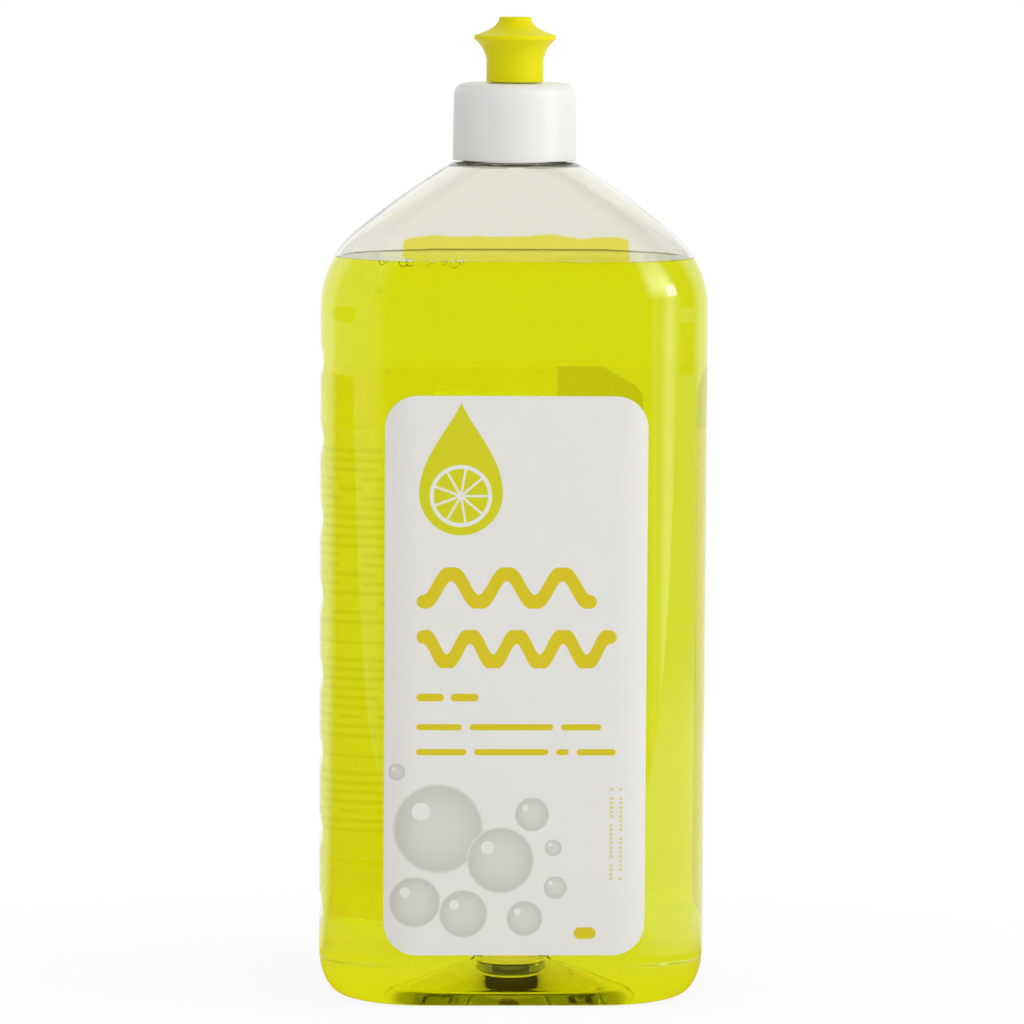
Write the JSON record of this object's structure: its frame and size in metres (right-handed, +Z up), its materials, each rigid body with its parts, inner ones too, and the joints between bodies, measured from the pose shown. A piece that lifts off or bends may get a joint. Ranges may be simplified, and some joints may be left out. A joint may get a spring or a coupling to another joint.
{
  "type": "dish soap bottle",
  "caption": "Clear flat-sided bottle of yellow-green dish soap with finger grooves on one side, paper-white labels, a white screw cap and a yellow push-pull spout.",
  "frame": {"origin": "centre of the base, on the surface that the bottle stands on", "axes": "+Z up along the neck, -Y out of the front label, -X out of the side with the finger grooves"},
  "size_m": [0.0994, 0.0624, 0.2517],
  "materials": {
    "clear_pet": "clear blow-moulded PET, glossy",
    "soap": "clear yellow-green liquid",
    "label_film": "printed white label film",
    "foam": "closed-cell foam",
    "cap_white": "white moulded polypropylene, satin",
    "spout_yellow": "yellow moulded polyethylene, satin"
  },
  "bodies": {
    "bottle": {"bottle": "clear_pet", "liquid": "soap", "front_label": "label_film", "back_label": "label_film"},
    "liner": {"liner": "foam"},
    "cap": {"screw_cap": "cap_white"},
    "spout": {"spout": "spout_yellow"}
  },
  "joints": [
    {"name": "cap_lift", "type": "slide", "parent": "bottle", "child": "liner", "axis": [0, 0, 1], "range_m": [0, 0.0048]},
    {"name": "cap_turn", "type": "hinge", "parent": "liner", "child": "cap", "pos_m": [0, 0, 0.224], "axis": [0, 0, 1], "range_deg": [0, 540]},
    {"name": "spout_pull", "type": "slide", "parent": "cap", "child": "spout", "axis": [0, 0, 1], "range_m": [0, 0.0056]}
  ],
  "couplings": [
    {"joint": "cap_lift", "follows": "cap_turn", "m_per_rad": 0.00050532}
  ]
}
